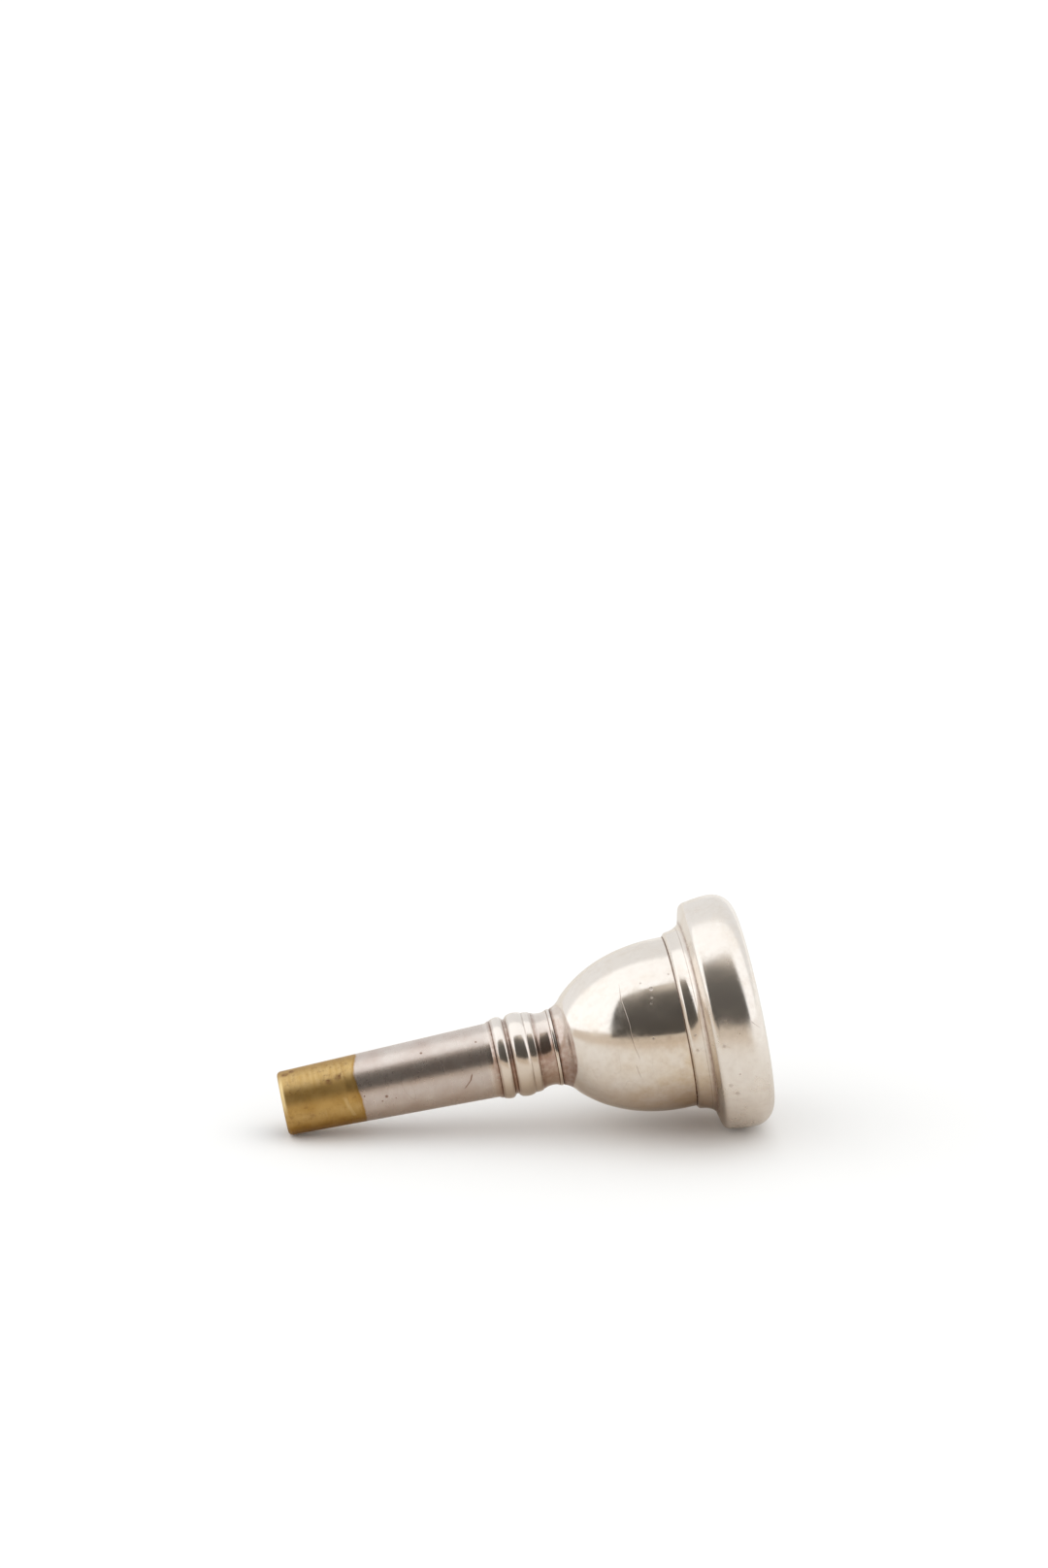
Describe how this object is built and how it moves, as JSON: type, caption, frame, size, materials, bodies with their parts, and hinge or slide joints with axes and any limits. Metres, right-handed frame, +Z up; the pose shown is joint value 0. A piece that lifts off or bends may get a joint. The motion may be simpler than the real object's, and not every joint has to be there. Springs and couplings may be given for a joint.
{
  "type": "trombone mouthpiece",
  "caption": "Worn silver-plated small-shank trombone mouthpiece lying on its side, with a screw rim, goblet cup, beaded shank and a bare brass end sleeve.",
  "frame": {"origin": "middle of the part's footprint on the surface that it lies on", "axes": "+X from the shank towards the rim along the surface, +Z up; the mouthpiece's own axis climbs 11 degrees towards the rim"},
  "size_m": [0.0826, 0.0392, 0.0391],
  "materials": {
    "rim_plate": "polished silver plate with small pits",
    "cup_plate": "polished silver plate with fine turning scratches",
    "shank_plate": "worn silver plate, scratched and lightly tarnished",
    "sleeve_brass": "bare dull brass"
  },
  "bodies": {
    "cup_body": {"cup": "cup_plate"},
    "rim_body": {"rim": "rim_plate"},
    "shank_body": {"shank": "shank_plate", "end_sleeve": "sleeve_brass"}
  },
  "joints": [
    {"name": "rim_unscrew", "type": "slide", "parent": "cup_body", "child": "rim_body", "axis": [0.9815, 0, 0.1914], "range_m": [0, 0.008]},
    {"name": "shank_unscrew", "type": "slide", "parent": "cup_body", "child": "shank_body", "axis": [-0.9815, 0, -0.1914], "range_m": [0, 0.009]}
  ]
}
